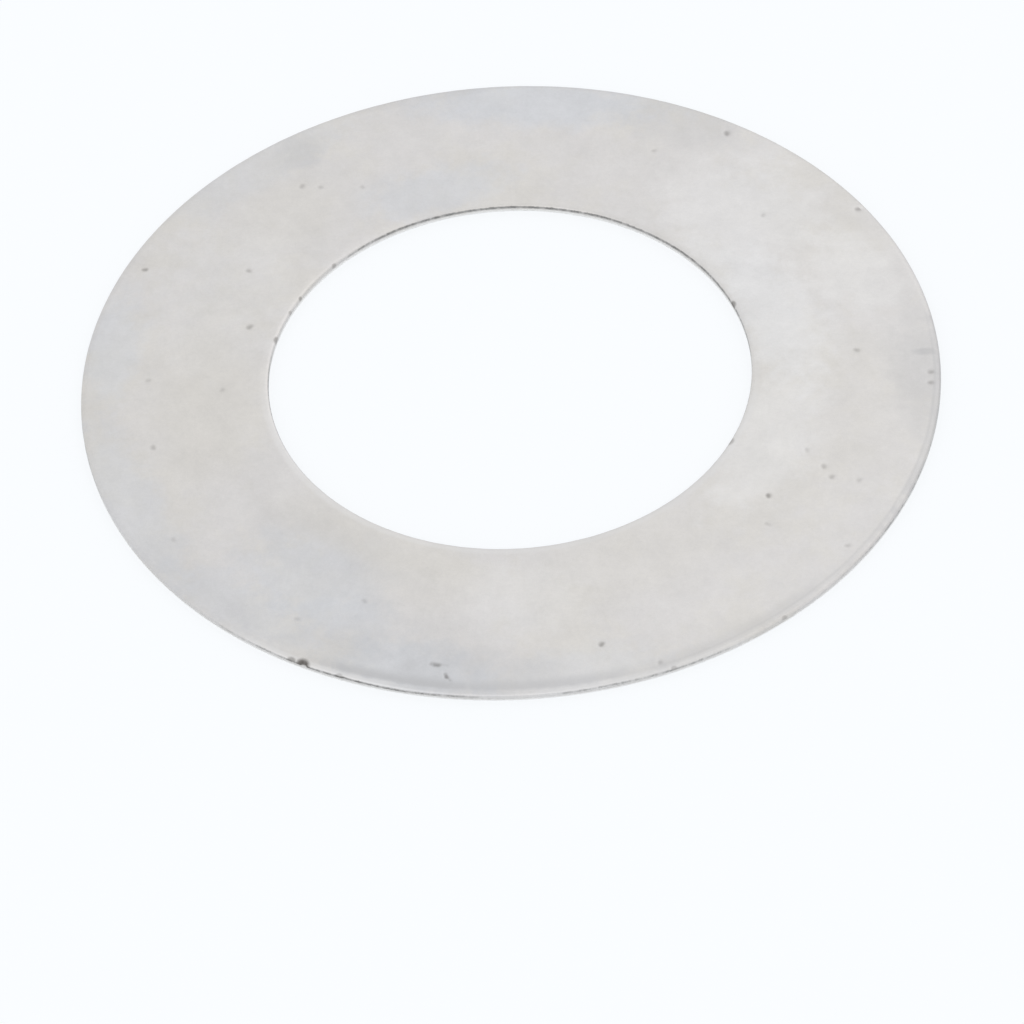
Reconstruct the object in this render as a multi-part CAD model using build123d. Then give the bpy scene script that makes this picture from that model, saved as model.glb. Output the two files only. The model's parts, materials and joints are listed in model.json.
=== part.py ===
from build123d import *
from math import cos, radians, tan
import os

# A flat shim ring, blanked and pierced from sheet steel in one stroke of a compound die.
# Millimetres, +Z up. The origin is the ring's centre, on the surface that it lies on.
# The burr side faces down, so both upper edges carry a rounded die roll.

# Driving dimensions
OUTSIDE_DIAMETER = 80.0
BORE_DIAMETER = 45.0
THICKNESS = 0.8

# What the die leaves on the two sheared walls, from the top face down
RIM_ROLL_WIDTH = 0.60    # how far the rim's die roll reaches across the top face
RIM_ROLL_DEPTH = 0.26    # how far it comes down the wall
BORE_ROLL_WIDTH = 0.38   # the same two for the bore, which was cut with less clearance
BORE_ROLL_DEPTH = 0.18
TORN_HEIGHT = 0.28       # top of the torn zone above the bottom face, on both walls
TORN_ANGLE = 8.0         # lean of the torn zone into the metal, degrees
EDGE_BREAK = 0.03        # chamfer where the burr was knocked off

# Nicks in the rim's upper edge from rough handling: azimuth in degrees from +X, and the
# width along the rim and depth into it at the top face. They run out down the wall.
RIM_NICKS = {
    "deep nick": (240.4, 0.86, 0.30),
    "shallow nick beside it": (238.8, 0.60, 0.16),
}
NICK_TILT = 22.0         # how far the blow that made them leaned from upright, degrees


def sheared_wall(radius, outward, roll_width, roll_depth):
    """Draw one sheared wall of the half-section and return its top and foot points.

    outward is +1 on the rim, where the metal lies inside the radius, and -1 on the bore.
    The smooth land between the die roll and the torn zone lies at the radius itself.
    """
    def point(inset, height):
        return (radius - outward * inset, height)

    roll = EllipticalCenterArc(
        center=point(roll_width, THICKNESS - roll_depth),
        x_radius=roll_width,
        y_radius=roll_depth,
        start_angle=90,
        arc_size=-90 * outward,
    )
    torn_lean = (TORN_HEIGHT - EDGE_BREAK) * tan(radians(TORN_ANGLE))
    land = Line(roll @ 1, point(0, TORN_HEIGHT))
    torn_zone = Line(land @ 1, point(torn_lean, EDGE_BREAK))
    broken_edge = Line(torn_zone @ 1, point(torn_lean + EDGE_BREAK, 0))
    return roll @ 0, broken_edge @ 1


def blanked_ring():
    """The ring without its nicks: the half-section turned once about +Z."""
    with BuildPart() as blank:
        with BuildSketch(Plane.XZ):
            with BuildLine():
                rim_top, rim_foot = sheared_wall(
                    OUTSIDE_DIAMETER / 2, 1, RIM_ROLL_WIDTH, RIM_ROLL_DEPTH
                )
                bore_top, bore_foot = sheared_wall(
                    BORE_DIAMETER / 2, -1, BORE_ROLL_WIDTH, BORE_ROLL_DEPTH
                )
                Line(bore_top, rim_top)
                Line(bore_foot, rim_foot)
            make_face()
        revolve(axis=Axis.Z)
    return blank.part


def nick_cutter(azimuth, width, depth):
    """A leaning round bar that bites a notch of this width and depth out of the top edge."""
    bar_radius = (width**2 / 4 + depth**2) / (2 * depth)
    bar_offset = OUTSIDE_DIAMETER / 2 - depth + bar_radius / cos(radians(NICK_TILT))
    bar = Rot(0, -NICK_TILT, 0) * Cylinder(bar_radius, 4 * THICKNESS)
    return Rot(0, 0, azimuth) * Pos(bar_offset, 0, THICKNESS) * bar


def shim_ring():
    ring = blanked_ring()
    for azimuth, width, depth in RIM_NICKS.values():
        ring -= nick_cutter(azimuth, width, depth)
    return ring


os.makedirs("parts", exist_ok=True)
ring = shim_ring()
ring.label = "shim_ring"
export_step(ring, "parts/shim_ring.step")
print("shim ring volume, mm3:", round(ring.volume, 2))
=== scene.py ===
import json
from math import ceil, cos, pi, radians, sin, tan, tau

import bmesh
import bpy
from bpy.props import FloatProperty, FloatVectorProperty, IntProperty, PointerProperty
from mathutils import Matrix, Vector
from mathutils.kdtree import KDTree


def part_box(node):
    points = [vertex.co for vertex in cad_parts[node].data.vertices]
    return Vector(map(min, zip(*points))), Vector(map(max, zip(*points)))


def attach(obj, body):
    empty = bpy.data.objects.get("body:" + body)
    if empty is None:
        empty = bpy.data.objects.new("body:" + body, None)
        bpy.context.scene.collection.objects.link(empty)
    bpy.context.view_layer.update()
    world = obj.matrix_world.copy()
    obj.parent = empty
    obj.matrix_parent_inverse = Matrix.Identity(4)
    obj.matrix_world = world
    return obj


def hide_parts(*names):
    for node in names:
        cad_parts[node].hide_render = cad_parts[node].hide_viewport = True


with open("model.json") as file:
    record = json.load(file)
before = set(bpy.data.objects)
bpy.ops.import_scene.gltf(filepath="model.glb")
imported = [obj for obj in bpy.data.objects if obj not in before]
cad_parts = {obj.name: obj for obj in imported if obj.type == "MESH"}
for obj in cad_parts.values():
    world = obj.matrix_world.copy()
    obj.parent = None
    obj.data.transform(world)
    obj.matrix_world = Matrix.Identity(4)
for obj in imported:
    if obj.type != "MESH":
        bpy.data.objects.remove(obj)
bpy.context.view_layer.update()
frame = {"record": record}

bl_info = {
    "name": "Blanked shim ring",
    "version": (1, 0, 0),
    "blender": (4, 5, 0),
    "location": "View3D > Sidebar > Shim ring",
    "description": "Models a blanked steel shim ring, its satin mill finish and a plain stage",
    "category": "Object",
}

MM = 0.001
BORE = next(mount for mount in frame["record"]["mounts"] if mount["name"] == "bore")
LOW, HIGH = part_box("shim_ring")
RING = "Shim_ring"

# How finely the ring is divided. The half-section is spun through one sector, and that
# sector is then copied round.
SECTORS = 12
UPPER_CUTS = 23        # across the upper face
LOWER_CUTS = 7         # across the lower face
TORN_CUTS = 4          # down each torn zone
LAND_CUTS = 2          # down each smooth land
RIM_ROLL_SEGMENTS = 8
BORE_ROLL_SEGMENTS = 6
MARK_CUTS = 5          # across each face in and near a mark
MARK_BORDER = 0.25     # how far out from a mark the face is divided as finely, mm
UPPER_FACES = 0.10     # faces no further below the top than this count as the upper face, mm
UPPER_CORNERS = 0.15   # and corners no further than this, mm
SEAM_GAP = 0.001       # corners this close are sewn where sectors meet, mm
SLIVER = 0.0005        # and where a nick was cut, mm
WALL_REACH = 0.06      # a leaning and rough wall still lies this near to its radius, mm
WALL_FADE = 0.09       # and its finish has faded out this far from it, mm
FLOOR_GAP = 0.02       # from the floor up to the ring, so that no two faces share a plane, mm

# Nicks in the rim's upper edge, as the solid has them: azimuth in degrees, width and depth in mm
RIM_NICKS = ((240.4, 0.86, 0.30), (238.8, 0.60, 0.16))

# Pits in the upper face, each at an azimuth in degrees and a radius in mm.
# Each kind has its width and depth in mm.
PIT_KINDS = {
    "sharp": (1.10, 0.068, ((321.4, 29.0), (280.6, 35.3), (154.0, 38.0))),
    "deep": (1.40, 0.056, ((53.6, 38.3), (161.6, 25.5), (28.7, 39.2))),
    "small": (1.30, 0.044, (
        (332.0, 31.7), (330.5, 32.8), (352.5, 39.0), (147.0, 28.8),
        (192.0, 34.0), (125.0, 33.0), (354.7, 39.1), (359.6, 32.3),
    )),
    "faint": (1.20, 0.034, (
        (334.5, 29.5), (331.5, 35.2), (319.5, 38.3), (316.0, 31.0), (211.0, 36.6),
        (180.5, 26.8), (177.0, 33.8), (235.5, 35.8), (243.0, 31.2), (37.0, 31.5), (62.0, 32.8),
        (122.5, 31.8), (116.5, 29.5), (287.2, 39.1),
    )),
}

# Each pit is three overlapping presses. Each has its share of the pit's width and depth, how
# far it lies off to a side as a share of the width, and the direction of that, in degrees.
PRESSES = ((1.0, 0.55, 0.0, 0), (0.7, 0.35, 0.18, 120), (0.55, 0.25, 0.18, 240))
TURN_FROM_PIT_TO_PIT = 137.5    # so that no two pits of a kind are turned alike, degrees

# Short scratches: azimuth, radius, length, heading from the radius in degrees, width, depth
SCRATCHES = (
    (257.1, 36.82, 0.55, 76.0, 0.95, 0.039),
    (258.0, 36.74, 0.90, 92.0, 0.75, 0.021),
    (258.9, 37.95, 0.30, 30.0, 0.75, 0.040),
    (259.3, 38.25, 0.55, 48.0, 0.55, 0.030),
)
SCRATCH_STEP = 0.16             # longest gap between the presses along a scratch, mm

# Films and stains on the upper face, under the names of their colours: azimuth in degrees,
# radius, half-width round the ring, half-width along the radius in mm, and strength
FILMS = {
    "blue_steel": (
        (83, 37.0, 14, 3.6, 0.5), (233, 31.0, 8, 5.0, 0.35), (14, 25.5, 10, 3.2, 0.25),
        (170, 37.5, 8, 2.8, 0.35), (103, 26.0, 8, 3.6, 0.35), (202, 38.0, 12, 3.4, 0.30),
        (254, 37.6, 8, 3.4, 0.5), (243, 34.0, 6, 3.0, 0.25), (127, 37.8, 12, 3.0, 0.22),
        (228, 37.5, 8, 3.0, 0.30), (276, 37.8, 9, 3.0, 0.22),
    ),
    "warm_steel": (
        (185, 28.0, 9, 6.0, 0.7), (131, 30.5, 6, 5.0, 0.5), (24, 34.0, 8, 5.0, 0.4),
        (239, 24.0, 12, 3.0, 0.5), (252, 27.0, 6, 4.0, 0.4), (290, 27.0, 10, 5.0, 0.4),
        (348, 30.0, 9, 8.0, 0.3),
    ),
    # The pale patches on the right of the face, around azimuth 0, partly paint light there: that
    # side is painted brighter
    "pale_steel_and_highlight": (
        (10, 26.0, 9, 5.0, 0.6), (40, 30.0, 9, 8.0, 0.5), (17, 34.5, 6, 4.0, 0.5),
        (335, 25.5, 11, 4.5, 0.5), (30, 24.5, 5, 3.0, 0.45), (270, 29.0, 6, 5.0, 0.3),
        (155, 30.0, 12, 7.0, 0.2),
    ),
    "stain_and_shade": (
        (121, 37.0, 3.0, 2.4, 0.24), (358.6, 38.8, 0.55, 1.3, 0.45), (100, 39.3, 14, 0.8, 0.12),
        (232, 27.5, 10, 5.0, 0.13), (243, 37.6, 8, 2.6, 0.16), (257, 34.5, 7, 3.6, 0.12),
        (355, 38.5, 9, 3.5, 0.24), (62, 37.5, 8, 4.0, 0.18), (262, 37.6, 10, 3.0, 0.20),
        (222, 37.5, 8, 3.0, 0.15), (245, 34.5, 8, 4.0, 0.13),
    ),
}
PATCH_REACH = 100.0             # half-height of every patch, far past both faces, mm

# Specks of dirt on the edges: azimuth, whether on the rim, half-width, strength
EDGE_SPECKS = (
    (164.3, False, 0.44, 0.5), (18.3, False, 0.46, 0.65), (331.1, False, 0.55, 0.45),
    (154.5, False, 0.26, 0.35), (149.2, False, 0.28, 0.5), (135.5, False, 0.28, 0.4),
    (304.8, True, 0.34, 0.3), (288.5, True, 0.30, 0.3), (245.4, True, 0.34, 0.3),
)


# ------------------------------------------------------------------ sizes, finish and stage


def length(name, description, default):
    return FloatProperty(
        name=name, description=description, default=default,
        min=0.0, precision=5, subtype="DISTANCE", unit="LENGTH",
    )


def turn(name, description, degrees):
    return FloatProperty(
        name=name, description=description, default=radians(degrees),
        precision=3, subtype="ANGLE", unit="ROTATION",
    )


def share(name, description, default):
    return FloatProperty(name=name, description=description, default=default, min=0.0, max=1.0)


def power(name, description, default):
    return FloatProperty(
        name=name, description=description, default=default,
        min=0.0, subtype="POWER", unit="POWER",
    )


def color(name, description, default):
    return FloatVectorProperty(
        name=name, description=description, default=default,
        size=3, min=0.0, max=1.0, subtype="COLOR",
    )


class ShimRingSizes(bpy.types.PropertyGroup):
    """What the die and the sheet give the ring."""

    outside_diameter: length("Outside diameter", "Across the rim", HIGH[0] - LOW[0])
    bore_diameter: length("Bore diameter", "Across the hole", 2 * MM * BORE["dims"]["r_mm"])
    thickness: length("Thickness", "Gauge of the sheet", HIGH[2] - LOW[2])
    rim_roll_width: length("Rim roll width", "Reach of its die roll across the face", 0.60 * MM)
    rim_roll_depth: length("Rim roll depth", "Reach of its die roll down the wall", 0.26 * MM)
    bore_roll_width: length("Bore roll width", "Reach of its die roll on the face", 0.38 * MM)
    bore_roll_depth: length("Bore roll depth", "Reach of its die roll down the wall", 0.18 * MM)
    torn_height: length("Torn height", "Top of the torn zone above the lower face", 0.28 * MM)
    torn_lean: turn("Torn lean", "Lean of the torn zone into the metal", 8.0)
    edge_break: length("Edge break", "Chamfer where the burr was knocked off", 0.03 * MM)
    nick_lean: turn("Nick lean", "Lean of the blow that nicked the rim, from upright", 22.0)
    tear_relief: length("Tear relief", "Depth of the roughness in the torn zone", 0.035 * MM)
    roll_dings: length("Roll dings", "Depth of the handling dings along the die roll", 0.025 * MM)
    steps: IntProperty(
        name="Steps round", description="Divisions round the ring", default=900, min=90,
    )


class ShimRingFinish(bpy.types.PropertyGroup):
    """Colours and sheen of the bare steel, and of the highlights, shade and reflection painted on
    it.
    """

    steel: color("Steel", "Clean satin steel", (0.663, 0.645, 0.635))
    warm_steel: color("Warm steel", "Steel under a straw-coloured film", (0.658, 0.635, 0.598))
    blue_steel: color("Blue steel", "Steel under a bluish film", (0.606, 0.630, 0.675))
    # Pale steel is also the colour of the painted highlights on the die rolls
    pale_steel_and_highlight: color("Pale steel", "Steel rubbed brighter by handling", (0.74, 0.73, 0.725))
    # Stain is also the colour of the painted shade along the rim's die roll
    stain_and_shade: color("Stain", "Dull grey handling stain", (0.462, 0.460, 0.465))
    # Dark torn steel and dirt along the walls, partly painted shade, darkest in the bore
    torn_steel_and_shade: color("Torn steel", "Dark line where the walls tear", (0.23, 0.225, 0.22))
    # A painted reflection of the bright floor, pale along the foot of the walls
    burr: color("Burr", "Bright foot of the walls, where it was knocked down", (0.91, 0.905, 0.895))
    # Grime is also the colour of the painted shade in the nicks
    grime_and_shade: color("Grime", "Dirt held in pits and nicks", (0.10, 0.088, 0.078))
    roughness: share("Roughness", "Roughness of the satin face", 0.44)
    roll_roughness: share("Roll roughness", "Roughness of the die rolls", 0.42)
    burnish: share("Burnish", "Roughness of the smooth land on the walls", 0.30)
    torn_roughness: share("Torn roughness", "Roughness of the torn zone", 0.62)
    grime_roughness: share("Grime roughness", "Roughness of the dirt", 0.75)
    grain_height: length("Grain height", "Relief of the satin grain", 0.004 * MM)


class ShimRingStage(bpy.types.PropertyGroup):
    """Floor, light and camera."""

    floor: color("Floor", "Colour of the floor", (0.93, 0.95, 0.97))
    surround: color("Surround", "Colour of the backdrop", (0.955, 0.975, 0.995))
    light: color("Light", "Colour of the even light", (0.98, 0.99, 1.0))
    floor_width: length("Floor width", "Side of the square floor", 6.0)
    dome: FloatProperty(
        name="Dome", description="Strength of the even light", default=1.0, min=0.0,
    )
    key: power("Key", "Power of the broad lamp, right and behind", 0.8)
    fill: power("Fill", "Power of the lamp on the left, in front", 1.5)
    camera_height: turn("Camera height", "Angle of the camera above the floor", 46.64)
    camera_roll: turn("Camera roll", "Roll of the camera about its line of sight", -3.61)
    camera_distance: length("Camera distance", "From the camera to the point it looks at", 422 * MM)
    camera_aim: FloatVectorProperty(
        name="Camera aim", description="Point on the floor that the camera looks at",
        default=(-0.61 * MM, -17.35 * MM), size=2, subtype="XYZ", unit="LENGTH",
    )
    lens: FloatProperty(name="Lens", description="Focal length in mm", default=163.7, min=1.0)


# ------------------------------------------------------------------ modelling


def start_editing(piece):
    bpy.ops.object.select_all(action="DESELECT")
    bpy.context.view_layer.objects.active = piece
    piece.select_set(True)
    bpy.ops.object.mode_set(mode="EDIT")


def stop_editing():
    bpy.ops.object.mode_set(mode="OBJECT")


def choose(piece, kind, wanted):
    """Select only the corners, edges or faces of the piece for which wanted says yes."""
    bpy.ops.mesh.select_mode(type=kind)
    bpy.ops.mesh.select_all(action="DESELECT")
    mesh = bmesh.from_edit_mesh(piece.data)
    chosen = 0
    for part in {"VERT": mesh.verts, "EDGE": mesh.edges, "FACE": mesh.faces}[kind]:
        if wanted(part):
            part.select_set(True)
            chosen += 1
    mesh.select_flush_mode()
    bmesh.update_edit_mesh(piece.data)
    if not chosen:
        raise RuntimeError("nothing to work on in " + piece.name)


def divide(piece, cuts, longer_than, lies_there):
    """Divide each edge that is longer than this and whose two ends both lie there."""
    choose(piece, "EDGE", lambda edge: edge.calc_length() > longer_than and all(
        lies_there(corner.co) for corner in edge.verts))
    bpy.ops.mesh.subdivide(number_cuts=cuts)


def at(azimuth, radius, height=0.0):
    """A point of the ring from its azimuth in degrees and its radius."""
    return Vector((radius * cos(radians(azimuth)), radius * sin(radians(azimuth)), height))


def draw_section(ring, sizes):
    """The half-section's outline: a flat box on edge, with leaning feet and rolled shoulders."""
    rim = sizes.outside_diameter / 2
    bore = sizes.bore_diameter / 2
    middle = (rim + bore) / 2
    wide = (rim - bore) / 2
    top = sizes.thickness
    tear = sizes.torn_height
    hair = top / 1000    # tells one level from the next

    # The plain section, stood on edge and cut across where the torn zone ends
    bpy.ops.mesh.delete(type="ONLY_FACE")
    bpy.ops.mesh.select_all(action="SELECT")
    bpy.ops.transform.rotate(value=pi / 2, orient_axis="X", center_override=(0, 0, 0))
    bpy.ops.transform.resize(value=(rim - bore, 1, top), center_override=(0, 0, 0))
    bpy.ops.transform.translate(value=(middle, 0, top / 2))
    bpy.ops.mesh.bisect(plane_co=(0, 0, tear), plane_no=(0, 0, 1))

    # The torn zone leans into the metal on both walls, and the burr is off
    lean = tear * tan(sizes.torn_lean)
    for side in (1, -1):
        choose(ring, "VERT", lambda corner: (
            corner.co.z < hair and (corner.co.x - middle) * side > 0))
        bpy.ops.transform.translate(value=(-side * lean, 0, 0))
    choose(ring, "VERT", lambda corner: corner.co.z < hair)
    bpy.ops.mesh.bevel(offset=sizes.edge_break, segments=1, affect="VERTICES")

    # Each die roll is a round bevel, drawn with the height stretched to make it a circle
    shoulder = 0.9 * wide
    rolls = (
        (1, sizes.rim_roll_width, sizes.rim_roll_depth, RIM_ROLL_SEGMENTS),
        (-1, sizes.bore_roll_width, sizes.bore_roll_depth, BORE_ROLL_SEGMENTS),
    )
    for side, width, depth, segments in rolls:
        bpy.ops.mesh.select_all(action="SELECT")
        bpy.ops.transform.resize(value=(1, 1, width / depth), center_override=(0, 0, top))
        choose(ring, "VERT", lambda corner: (
            corner.co.z > top - hair and (corner.co.x - middle) * side > shoulder))
        bpy.ops.mesh.bevel(offset=width, segments=segments, affect="VERTICES", profile=0.5)
        bpy.ops.mesh.select_all(action="SELECT")
        bpy.ops.transform.resize(value=(1, 1, depth / width), center_override=(0, 0, top))

    # Divisions for the pits and for the rough torn zone
    divide(ring, UPPER_CUTS, wide, lambda co: co.z > top / 2)
    divide(ring, LOWER_CUTS, wide, lambda co: co.z < top / 2)
    divide(ring, TORN_CUTS, tear / 2, lambda co: hair < co.z < tear + hair)
    divide(ring, LAND_CUTS, tear / 2, lambda co: (
        co.z > tear - hair and abs(co.x - middle) > wide - hair))


def turn_ring(steps):
    """Turn the section through one sector, then copy that sector round and sew the seams."""
    sector = tau / SECTORS
    bpy.ops.mesh.select_all(action="SELECT")
    bpy.ops.mesh.spin(
        steps=ceil(steps / SECTORS), angle=sector, center=(0, 0, 0), axis=(0, 0, 1),
    )
    bpy.ops.mesh.select_all(action="SELECT")
    bpy.ops.mesh.spin(
        steps=SECTORS - 1, angle=(SECTORS - 1) * sector, dupli=True,
        center=(0, 0, 0), axis=(0, 0, 1),
    )
    bpy.ops.mesh.select_all(action="SELECT")
    bpy.ops.mesh.remove_doubles(threshold=SEAM_GAP * MM)
    bpy.ops.mesh.select_all(action="SELECT")
    bpy.ops.mesh.normals_make_consistent(inside=False)


def roughen(piece, name, zone, relief, grain, neutral):
    """Push the corners in a zone in and out by a cloudy pattern of this grain.

    The pattern runs from 0 to 1, and a corner stays where it is at neutral.
    """
    group = piece.vertex_groups.new(name=name)
    for corner in piece.data.vertices:
        weight = zone(corner.co)
        if weight > 0:
            group.add([corner.index], weight, "REPLACE")
    pattern = bpy.data.textures.new(name, "CLOUDS")
    pattern.noise_scale = grain
    pattern.noise_depth = 2
    pattern.noise_type = "SOFT_NOISE"
    modifier = piece.modifiers.new(name, "DISPLACE")
    modifier.texture = pattern
    modifier.texture_coords = "LOCAL"
    modifier.vertex_group = name
    modifier.strength = relief
    modifier.mid_level = neutral
    bpy.ops.object.modifier_apply(modifier=modifier.name)
    piece.vertex_groups.remove(piece.vertex_groups[name])
    bpy.data.textures.remove(pattern)


class SHIMRING_OT_blank(bpy.types.Operator):
    """Blank the ring: die rolls above, smooth lands, and torn zones below"""

    bl_idname = "shim_ring.blank"
    bl_label = "Blank the ring"
    bl_options = {"REGISTER", "UNDO"}

    def execute(self, context):
        sizes = context.scene.shim_ring_sizes
        bpy.ops.object.select_all(action="DESELECT")
        bpy.ops.mesh.primitive_plane_add(size=1)
        ring = context.object
        ring.name = RING
        ring.data.name = RING
        start_editing(ring)
        draw_section(ring, sizes)
        turn_ring(sizes.steps)
        stop_editing()

        rim = sizes.outside_diameter / 2
        bore = sizes.bore_diameter / 2
        tear = sizes.torn_height

        def torn(co):
            radius = Vector(co.xy).length
            on_wall = radius > rim - WALL_REACH * MM or radius < bore + WALL_REACH * MM
            inside = sizes.edge_break / 2 < co.z < tear - 0.01 * MM
            return 1.0 if on_wall and inside else 0.0

        def rolled(co):
            radius = Vector(co.xy).length
            on_rim_roll = radius > rim - 0.8 * sizes.rim_roll_width
            on_bore_roll = radius < bore + 0.8 * sizes.bore_roll_width
            above_the_wall = co.z > sizes.thickness - sizes.rim_roll_depth
            return 1.0 if (on_rim_roll or on_bore_roll) and above_the_wall else 0.0

        roughen(ring, "torn zone", torn, sizes.tear_relief, grain=0.30 * MM, neutral=0.62)
        roughen(ring, "die roll", rolled, sizes.roll_dings, grain=1.3 * MM, neutral=1.0)
        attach(ring, "root")
        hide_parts("shim_ring")
        return {"FINISHED"}


class SHIMRING_OT_nicks(bpy.types.Operator):
    """Cut the nicks out of the rim's upper edge with a leaning round bar"""

    bl_idname = "shim_ring.nicks"
    bl_label = "Nick the rim"
    bl_options = {"REGISTER", "UNDO"}

    def execute(self, context):
        ring = bpy.data.objects[RING]
        sizes = context.scene.shim_ring_sizes
        rim = sizes.outside_diameter / 2
        for azimuth, width, depth in RIM_NICKS:
            bar_radius = (width**2 / 4 + depth**2) / (2 * depth) * MM
            offset = rim - depth * MM + bar_radius / cos(sizes.nick_lean)
            bpy.ops.object.select_all(action="DESELECT")
            bpy.ops.mesh.primitive_cylinder_add(
                vertices=64, radius=bar_radius, depth=4 * sizes.thickness,
                location=at(azimuth, offset, sizes.thickness),
                rotation=(0, -sizes.nick_lean, radians(azimuth)),
            )
            bar = context.object
            bpy.ops.object.select_all(action="DESELECT")
            context.view_layer.objects.active = ring
            ring.select_set(True)
            cut = ring.modifiers.new("nick", "BOOLEAN")
            cut.operation = "DIFFERENCE"
            cut.solver = "EXACT"
            cut.object = bar
            bpy.ops.object.modifier_apply(modifier=cut.name)
            bpy.data.objects.remove(bar)
        start_editing(ring)
        bpy.ops.mesh.select_all(action="SELECT")
        bpy.ops.mesh.remove_doubles(threshold=SLIVER * MM)
        stop_editing()
        return {"FINISHED"}


def press(ring, places, width, depth):
    """Press the upper face in at these places, each to this width and depth."""
    mesh = bmesh.from_edit_mesh(ring.data)
    top = max(corner.co.z for corner in mesh.verts)
    face = [corner for corner in mesh.verts if corner.co.z > top - UPPER_CORNERS * MM]
    tree = KDTree(len(face))
    for number, corner in enumerate(face):
        tree.insert(corner.co, number)
    tree.balance()
    chosen = {face[tree.find(place)[1]].index for place in places}
    choose(ring, "VERT", lambda corner: corner.index in chosen)
    bpy.ops.transform.translate(
        value=(0, 0, -depth), use_proportional_edit=True, use_proportional_connected=False,
        proportional_edit_falloff="SMOOTH", proportional_size=width / 2,
    )


class SHIMRING_OT_pits(bpy.types.Operator):
    """Press the pits and short scratches into the upper face"""

    bl_idname = "shim_ring.pits"
    bl_label = "Pit the face"
    bl_options = {"REGISTER", "UNDO"}

    def execute(self, context):
        ring = bpy.data.objects[RING]
        top = context.scene.shim_ring_sizes.thickness
        strokes = []
        for azimuth, radius, run, heading, width, depth in SCRATCHES:
            middle = at(azimuth, radius * MM, top)
            along = at(azimuth + heading, MM)
            count = ceil(run / SCRATCH_STEP)
            points = [middle + along * run * (step / count - 0.5) for step in range(count + 1)]
            strokes.append((points, width * MM, depth * MM))

        places = [(at(azimuth, radius * MM, top), width * MM)
                  for width, depth, spots in PIT_KINDS.values() for azimuth, radius in spots]
        places += [(point, width) for points, width, depth in strokes for point in points]
        start_editing(ring)
        tree = KDTree(len(places))
        for number, (place, width) in enumerate(places):
            tree.insert(place, number)
        tree.balance()

        def near_a_mark(face):
            center = face.calc_center_median()
            if center.z < top - UPPER_FACES * MM:
                return False
            place, number, gap = tree.find(center)
            return gap < 0.5 * places[number][1] + MARK_BORDER * MM

        choose(ring, "FACE", near_a_mark)
        bpy.ops.mesh.subdivide(number_cuts=MARK_CUTS)

        for width, depth, spots in PIT_KINDS.values():
            for share_of_width, share_of_depth, share_aside, heading in PRESSES:
                points = []
                for number, (azimuth, radius) in enumerate(spots):
                    turned = TURN_FROM_PIT_TO_PIT * number + heading
                    aside = at(turned, share_aside * width * MM)
                    points.append(at(azimuth, radius * MM, top) + aside)
                press(ring, points, share_of_width * width * MM, share_of_depth * depth * MM)
        for points, width, depth in strokes:
            press(ring, points, width, depth)
        stop_editing()
        bpy.ops.object.shade_smooth_by_angle(angle=radians(35))
        return {"FINISHED"}


# ------------------------------------------------------------------ shading


def opaque(tint):
    """A colour as a node takes it, with its alpha."""
    return (*tint, 1)


class Wire:
    """An output socket, with sums and products that add Math nodes."""

    def __init__(self, graph, socket):
        self.graph = graph
        self.socket = socket

    def math(self, operation, first, second):
        return self.graph.node("ShaderNodeMath", {"operation": operation}, {0: first, 1: second})

    def __add__(self, other):
        return self.math("ADD", self, other)

    def __radd__(self, other):
        return self.math("ADD", other, self)

    def __sub__(self, other):
        return self.math("SUBTRACT", self, other)

    def __rsub__(self, other):
        return self.math("SUBTRACT", other, self)

    def __mul__(self, other):
        return self.math("MULTIPLY", self, other)

    def __rmul__(self, other):
        return self.math("MULTIPLY", other, self)

    def __or__(self, other):
        return self.math("MAXIMUM", self, other)


class Graph:
    """The nodes of a material or of the world."""

    def __init__(self, owner):
        owner.use_nodes = True
        self.tree = owner.node_tree
        self.tree.nodes.clear()

    def node(self, kind, settings=None, sockets=None, output=0):
        """Add a node, give it these settings and sockets, and return one of its outputs."""
        made = self.tree.nodes.new(kind)
        for name, value in (settings or {}).items():
            setattr(made, name, value)
        for name, value in (sockets or {}).items():
            if isinstance(value, Wire):
                self.tree.links.new(value.socket, made.inputs[name])
            else:
                made.inputs[name].default_value = value
        return None if output is None else Wire(self, made.outputs[output])

    def scaled(self, vector, factor):
        """A place or a colour times one factor."""
        return self.node(
            "ShaderNodeVectorMath", {"operation": "SCALE"}, {0: vector, "Scale": factor})

    def times(self, vector, factors):
        """A place times a factor for each of its three axes."""
        return self.node(
            "ShaderNodeVectorMath", {"operation": "MULTIPLY"}, {0: vector, 1: factors})

    def length(self, vector):
        return self.node("ShaderNodeVectorMath", {"operation": "LENGTH"}, {0: vector}, output=1)

    def axis(self, vector, name):
        return self.node("ShaderNodeSeparateXYZ", {}, {0: vector}, output="XYZ".index(name))

    def noise(self, place, grain, detail, roughness):
        """A cloudy pattern from 0 to 1, with this size of grain in the units of place."""
        return self.node(
            "ShaderNodeTexNoise", {"noise_dimensions": "3D"},
            {"Vector": place, "Scale": 1 / grain, "Detail": detail, "Roughness": roughness},
        )

    def rays(self):
        """Two masks: what the camera sees for itself, and what it sees mirrored."""
        seen = self.node("ShaderNodeLightPath", output=0)
        mirrored = self.node("ShaderNodeLightPath", output=3)
        return seen, mirrored

    def ease(self, value, low, high, start=0.0, end=1.0):
        """A smooth step from start, at low, to end, at high."""
        return self.node(
            "ShaderNodeMapRange", {"interpolation_type": "SMOOTHSTEP"},
            {"Value": value, "From Min": low, "From Max": high, "To Min": start, "To Max": end},
        )

    def blend(self, mask, under, over):
        """Colour under where the mask is 0, and over where it is 1."""
        return self.node(
            "ShaderNodeMix", {"data_type": "RGBA"}, {0: mask, 6: under, 7: over}, output=2,
        )


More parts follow.
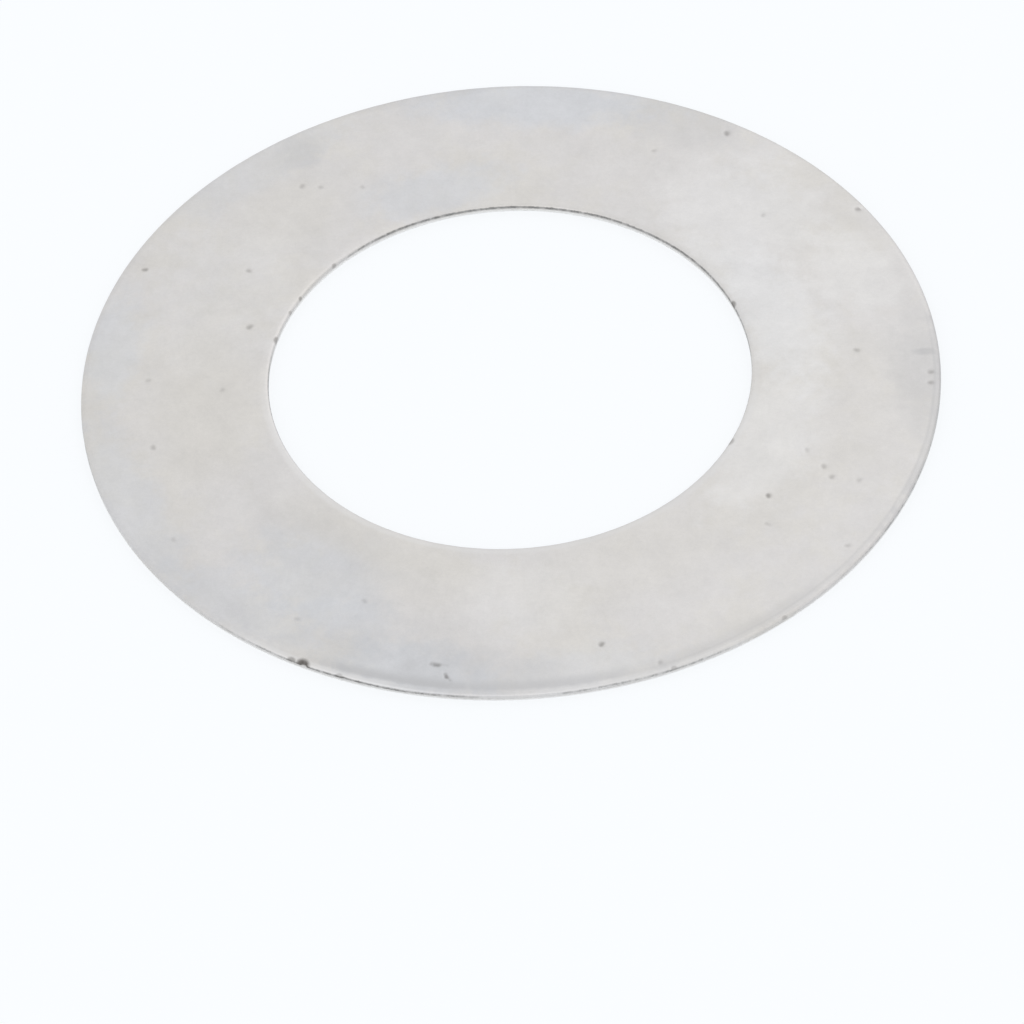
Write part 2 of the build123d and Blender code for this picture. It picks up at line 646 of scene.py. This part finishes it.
class SteelGraph(Graph):
    """The nodes of the ring's steel: the places, patterns and zones that its layers share."""

    def __init__(self, owner, sizes):
        super().__init__(owner)
        self.rim = sizes.outside_diameter / 2 / MM
        self.bore = sizes.bore_diameter / 2 / MM
        self.top = sizes.thickness / MM
        self.rim_roll = sizes.rim_roll_width / MM
        self.bore_roll = sizes.bore_roll_width / MM

        # Where on the ring, in mm
        self.place = self.scaled(self.node("ShaderNodeTexCoord", output=3), 1 / MM)
        self.side = self.axis(self.place, "Y")
        self.height = self.axis(self.place, "Z")
        flat = self.times(self.place, (1, 1, 0))
        self.radius = self.length(flat)

        # Patterns, from the whole sheet's patches down to the grain of the satin, and then
        # those of the walls: broken edges, streaks that the punch left down the lands, the
        # crumbling of the torn zone, and flecks of dirt
        self.sheet = self.noise(self.place, grain=16.0, detail=2.0, roughness=0.5)
        self.cloud = self.noise(self.place, grain=5.0, detail=6.0, roughness=0.85)
        self.fray = self.noise(self.place, grain=2.2, detail=4.0, roughness=0.65)
        self.grain = self.noise(self.place, grain=0.30, detail=3.0, roughness=0.75)
        self.pore = self.noise(self.place, grain=0.09, detail=1.0, roughness=0.5)
        slow = self.noise(flat, grain=9.0, detail=1.0, roughness=0.5)
        self.jagged = self.noise(self.place, grain=0.35, detail=3.0, roughness=0.6)
        drawn = self.times(self.place, (1, 1, 0.06))
        self.streak = self.noise(drawn, grain=0.16, detail=3.0, roughness=0.7)
        self.crumb = self.noise(self.place, grain=0.12, detail=3.0, roughness=0.7)
        self.fleck = self.noise(flat, grain=0.8, detail=3.0, roughness=0.7)
        self.frayed = (self.fray - 0.5) * 1.3

        # Zones: the upper side, the two walls, the torn foot of each, and the die rolls
        self.upper = self.ease(self.height, self.top - 0.30, self.top - 0.20)
        on_rim = self.ease(self.radius, self.rim - WALL_FADE, self.rim - WALL_REACH)
        self.in_bore = self.ease(self.radius, self.bore + WALL_FADE, self.bore + WALL_REACH)
        below_top = self.ease(self.height, self.top - 0.02, self.top - 0.10)
        self.wall = (on_rim | self.in_bore) * below_top
        torn_height = sizes.torn_height / MM
        self.torn_line = torn_height + (slow - 0.5) * 0.3 + (self.jagged - 0.5) * 0.2
        self.torn = self.wall * self.ease(self.height - self.torn_line, 0.02, -0.02)
        on_rim_roll = self.ease(self.radius, self.rim - self.rim_roll, self.rim - 0.36)
        on_bore_roll = self.ease(self.radius, self.bore + self.bore_roll, self.bore + 0.20)
        self.rolled = (on_rim_roll | on_bore_roll) * self.upper

    def patch(self, azimuth, radius, across, along, frayed=None):
        """A frayed oval patch, from its half-widths round the ring and along the radius."""
        if frayed is None:
            frayed = self.frayed
        oval = self.node(
            "ShaderNodeMapping", {"vector_type": "TEXTURE"},
            {"Vector": self.place, "Location": at(azimuth, radius),
             "Rotation": (0, 0, radians(azimuth)), "Scale": (along, across, PATCH_REACH)},
        )
        return self.ease(self.length(oval) + frayed, 1.25, 0.45)


def color_face(steel, finish):
    """The sheet's colour: a straw-coloured bloom, films and stains, pale patches that are partly
    painted light on the right of the face, and clouds and grain.
    """
    bloom = steel.ease(steel.sheet + (steel.fray - 0.5) * 0.5, 0.40, 0.64)
    tint = steel.blend(bloom * 0.6, opaque(finish.steel), opaque(finish.warm_steel))
    for name, spots in FILMS.items():
        for *spot, strength in spots:
            film = steel.patch(*spot) * strength * steel.upper
            tint = steel.blend(film, tint, opaque(getattr(finish, name)))
    clouds = (steel.cloud - 0.5) * 0.285
    return steel.scaled(
        tint, 1.0 + clouds + (steel.grain - 0.5) * 0.12 + (steel.pore - 0.5) * 0.08)


def paint_edge_light(steel, finish, tint):
    """Painted light along the edges: painted highlights on the near rim's die roll and on a lip
    round the near half of the bore, and bands of painted shade over the rim's die roll."""
    pale, stain_and_shade, rim = opaque(finish.pale_steel_and_highlight), opaque(finish.stain_and_shade), steel.rim
    wander = steel.radius + steel.frayed * 0.3

    def band(start, full, fading, gone):
        """A band that follows the rim. All four are distances in from it."""
        return (steel.ease(wander, rim - start, rim - full)
                * steel.ease(wander, rim - gone, rim - fading))

    # Painted highlights: the near rim's die roll painted pale, and a pale lip painted round the
    # near half of the bore
    outer = steel.ease(wander, rim - 0.55, rim - 0.28)
    rubbed = steel.patch(242, rim, 9.5, 4.0) | steel.patch(284, rim, 13.0, 4.0)
    tint = steel.blend(outer * rubbed * 0.5, tint, pale)
    lip = steel.ease(steel.radius, steel.bore + 0.95, steel.bore + 0.50)
    near_half = steel.ease(steel.side, 2.0, -8.0)
    tint = steel.blend(lip * near_half * 0.4, tint, pale)

    # Painted shade: bands that dim the die roll's highlight on the right of the rim, and a darker
    # band just inside the near rim
    shoulder = band(0.9, 0.6, 0.35, 0.15) * steel.patch(308, rim, 22.0, 9.0)
    tint = steel.blend(shoulder * 0.28, tint, stain_and_shade)
    rolled_over = band(0.85, 0.50, 0.10, -0.05) * steel.patch(346, rim, 16.0, 9.0)
    tint = steel.blend(rolled_over * 0.42, tint, stain_and_shade)
    shaded_band = steel.patch(253, rim, 9.0, 4.0) | steel.patch(271, rim, 11.0, 4.0) * 0.75
    shaded_band = shaded_band | steel.patch(300, rim, 13.0, 4.0) * 0.45
    return steel.blend(band(2.0, 0.9, 0.75, 0.35) * shaded_band * 0.6, tint, stain_and_shade)


def color_walls(steel, finish, tint):
    """The walls: streaked lands, a dark line that is partly torn steel and dirt and partly painted
    shade, and a painted reflection of the floor at the foot.
    """
    rim, bore, in_bore, wall, torn = steel.rim, steel.bore, steel.in_bore, steel.wall, steel.torn
    crumbled = torn * (steel.crumb - 0.5) * 0.5
    streaked = steel.scaled(tint, 0.90 + steel.streak * 0.2 - torn * 0.10 + crumbled)
    tint = steel.blend(wall, tint, streaked)

    # The dark line along each wall is partly torn steel and dirt and partly painted shade. It lies
    # higher and darker in the bore, breaks up in flecks, and fades out in places
    from_line = steel.height - steel.torn_line - 0.20 - in_bore * 0.09
    line = steel.ease(from_line, in_bore * -0.10 - 0.17, -0.04) * steel.ease(from_line, 0.20, 0.02)
    line_faded = steel.patch(268, rim, 4.5, 1.0) | steel.patch(150, bore, 11.0, 5.0) * 0.75
    line_faded = line_faded | steel.patch(214, rim, 13.0, 6.0) * 0.75
    line_faded = line_faded | steel.patch(307, rim, 9.0, 6.0) * 0.6
    line_deepened = steel.patch(247, rim, 7.0, 6.0) * 0.25
    strength = 0.45 + in_bore * 0.29 + line_deepened + (steel.fleck - 0.5) * 1.6
    line = steel.ease(line * wall * strength * (1 - line_faded), 0.0, 1.0)
    tint = steel.blend(line, tint, opaque(finish.torn_steel_and_shade))

    # A painted reflection of the bright floor, pale along the foot of each wall
    jagged = (steel.jagged - 0.5) * 0.16
    foot = wall * steel.ease(steel.height - in_bore * 0.08 + jagged, 0.34, 0.10)
    return steel.blend(foot * 0.85, tint, opaque(finish.burr))


def gather_dirt_and_nick_shade(steel):
    """Where dirt is held, in the pits and scratches and in specks on the edges, and painted shade
    in the nicks.
    """
    rim, bore, top, height = steel.rim, steel.bore, steel.top, steel.height
    shallow = steel.ease(height, top - 0.002, top - 0.070) * 0.62
    deep = steel.ease(height, top - 0.060, top - 0.100) * 0.35
    outer, inner = rim - steel.rim_roll, bore + steel.bore_roll
    on_the_flat = (steel.ease(steel.radius, outer, outer - 0.04)
                   * steel.ease(steel.radius, inner, inner + 0.04))
    held_and_shaded = (shallow + deep) * on_the_flat * steel.upper
    half_way = steel.ease(height, 0.30, 0.50)
    # Painted shade: the nicks are filled dark, as the shadow inside them would be
    for azimuth, width, depth in RIM_NICKS:
        nick = steel.patch(azimuth - 0.15, rim, 0.82 * width, 1.9 * depth, steel.frayed * 0.3)
        held_and_shaded = held_and_shaded | nick * half_way * min(1.0, 3.5 * depth)
    for azimuth, outside, width, strength in EDGE_SPECKS:
        edge = rim if outside else bore
        speck = steel.patch(azimuth, edge, width, 0.7 * width, steel.frayed * 0.5)
        held_and_shaded = held_and_shaded | speck * half_way * strength
    return held_and_shaded * (0.92 + (steel.grain - 0.5) * 0.4)


class SHIMRING_OT_finish(bpy.types.Operator):
    """Give the ring its bare satin steel"""

    bl_idname = "shim_ring.finish"
    bl_label = "Finish the steel"
    bl_options = {"REGISTER", "UNDO"}

    def execute(self, context):
        ring = bpy.data.objects[RING]
        finish = context.scene.shim_ring_finish
        material = bpy.data.materials.new("bare steel")
        steel = SteelGraph(material, context.scene.shim_ring_sizes)

        tint = color_face(steel, finish)
        tint = paint_edge_light(steel, finish, tint)
        tint = color_walls(steel, finish, tint)
        # Dirt in the pits, scratches and specks, and painted shade in the nicks
        dirt_and_nick_shade = gather_dirt_and_nick_shade(steel)
        tint = steel.blend(dirt_and_nick_shade, tint, opaque(finish.grime_and_shade))

        rough = finish.roughness + (steel.cloud - 0.5) * 0.10 + (steel.grain - 0.5) * 0.10
        zones = (
            (steel.rolled, finish.roll_roughness), (steel.wall, finish.burnish),
            (steel.torn, finish.torn_roughness), (dirt_and_nick_shade, finish.grime_roughness),
        )
        for zone, roughness in zones:
            rough = rough * (1 - zone) + zone * roughness

        satin = steel.grain * 0.6 + steel.pore * 0.4
        sheared = steel.streak * 0.8 * (1 - steel.torn) + steel.torn * steel.crumb * 2.5
        relief = satin * (1 - steel.wall) + steel.wall * sheared
        bump = steel.node("ShaderNodeBump", {}, {
            "Strength": 1.0, "Distance": finish.grain_height, "Height": relief,
        })
        surface = steel.node("ShaderNodeBsdfPrincipled", {}, {
            "Base Color": tint, "Roughness": rough, "Metallic": 1 - dirt_and_nick_shade * 0.8, "Normal": bump,
        })
        steel.node("ShaderNodeOutputMaterial", {}, {"Surface": surface}, output=None)
        ring.data.materials.clear()
        ring.data.materials.append(material)
        return {"FINISHED"}


# ------------------------------------------------------------------ stage


def add_lamp(name, place, side, watts):
    """A square lamp that points at the ring."""
    bpy.ops.object.light_add(type="AREA", location=place)
    lamp = bpy.context.object
    lamp.name = name
    lamp.data.shape = "SQUARE"
    lamp.data.size = side
    lamp.data.energy = watts
    lamp.rotation_euler = (-Vector(place)).to_track_quat("-Z", "Y").to_euler()


class SHIMRING_OT_stage(bpy.types.Operator):
    """Lay the floor, light it and set up the camera"""

    bl_idname = "shim_ring.stage"
    bl_label = "Set the stage"
    bl_options = {"REGISTER", "UNDO"}

    def execute(self, context):
        stage = context.scene.shim_ring_stage
        bpy.ops.object.select_all(action="DESELECT")
        bpy.ops.mesh.primitive_plane_add(size=stage.floor_width)
        floor = context.object
        floor.location.z = -FLOOR_GAP * MM
        floor.name = "Floor"

        # The floor shows mostly its own pale colour, and keeps a little of the ring's shadow
        paint = bpy.data.materials.new("pale floor")
        graph = Graph(paint)
        matt = graph.node("ShaderNodeBsdfDiffuse", {}, {"Color": opaque(stage.floor)})
        pale = graph.node(
            "ShaderNodeEmission", {}, {"Color": opaque(stage.surround), "Strength": 1.0})
        seen, mirrored = graph.rays()
        lit = graph.node("ShaderNodeMixShader", {}, {
            0: seen * 0.8 + mirrored * 0.5, 1: matt, 2: pale,
        })
        graph.node("ShaderNodeOutputMaterial", {}, {"Surface": lit}, output=None)
        floor.data.materials.append(paint)

        # An even dome, a little darker at the horizon and brighter on the right in reflections
        world = bpy.data.worlds.new("Studio")
        context.scene.world = world
        graph = Graph(world)
        direction = graph.node("ShaderNodeTexCoord", output=0)
        across, up = graph.axis(direction, "X"), graph.axis(direction, "Z")
        seen, mirrored = graph.rays()
        uneven = graph.ease(up, 0.0, 0.6, -0.07, 0.0) + across * 0.02
        dome = stage.dome * (1.0 + mirrored * uneven)
        strength = dome * (1 - seen) + seen
        shown = graph.blend(seen, opaque(stage.light), opaque(stage.surround))
        light = graph.node("ShaderNodeBackground", {}, {"Color": shown, "Strength": strength})
        graph.node("ShaderNodeOutputWorld", {}, {"Surface": light}, output=None)

        add_lamp("Key", place=(0.55, 0.75, 0.95), side=0.9, watts=stage.key)
        add_lamp("Fill", place=(-0.45, -0.85, 0.85), side=1.4, watts=stage.fill)

        aim = Vector((*stage.camera_aim, 0))
        tilt = Matrix.Rotation(pi / 2 - stage.camera_height, 4, "X")
        sight = tilt @ Matrix.Rotation(stage.camera_roll, 4, "Z")
        bpy.ops.object.camera_add()
        camera = context.object
        camera.name = "Camera"
        stand_off = sight @ Vector((0, 0, stage.camera_distance))
        camera.matrix_world = Matrix.Translation(aim + stand_off) @ sight
        camera.data.sensor_width = 36
        camera.data.lens = stage.lens
        context.scene.camera = camera
        context.scene.view_settings.view_transform = "Standard"
        return {"FINISHED"}


# ------------------------------------------------------------------ add-on


OPERATORS = (
    SHIMRING_OT_blank,
    SHIMRING_OT_nicks,
    SHIMRING_OT_pits,
    SHIMRING_OT_finish,
    SHIMRING_OT_stage,
)


class SHIMRING_PT_panel(bpy.types.Panel):
    """The steps of making the ring"""

    bl_idname = "SHIMRING_PT_panel"
    bl_label = "Shim ring"
    bl_space_type = "VIEW_3D"
    bl_region_type = "UI"
    bl_category = "Shim ring"

    def draw(self, context):
        for operator in OPERATORS:
            self.layout.operator(operator.bl_idname)
        for group in ("shim_ring_sizes", "shim_ring_finish", "shim_ring_stage"):
            box = self.layout.box()
            settings = getattr(context.scene, group)
            for name in settings.__annotations__:
                box.prop(settings, name)


GROUPS = {
    "shim_ring_sizes": ShimRingSizes,
    "shim_ring_finish": ShimRingFinish,
    "shim_ring_stage": ShimRingStage,
}


def register():
    for kind in (*GROUPS.values(), *OPERATORS, SHIMRING_PT_panel):
        bpy.utils.register_class(kind)
    for name, kind in GROUPS.items():
        setattr(bpy.types.Scene, name, PointerProperty(type=kind))


def unregister():
    for name in GROUPS:
        delattr(bpy.types.Scene, name)
    for kind in (SHIMRING_PT_panel, *reversed(OPERATORS), *reversed(GROUPS.values())):
        bpy.utils.unregister_class(kind)


def main():
    register()
    bpy.ops.shim_ring.blank()
    bpy.ops.shim_ring.nicks()
    bpy.ops.shim_ring.pits()
    bpy.ops.shim_ring.finish()
    bpy.ops.shim_ring.stage()


if __name__ == "__main__":
    main()
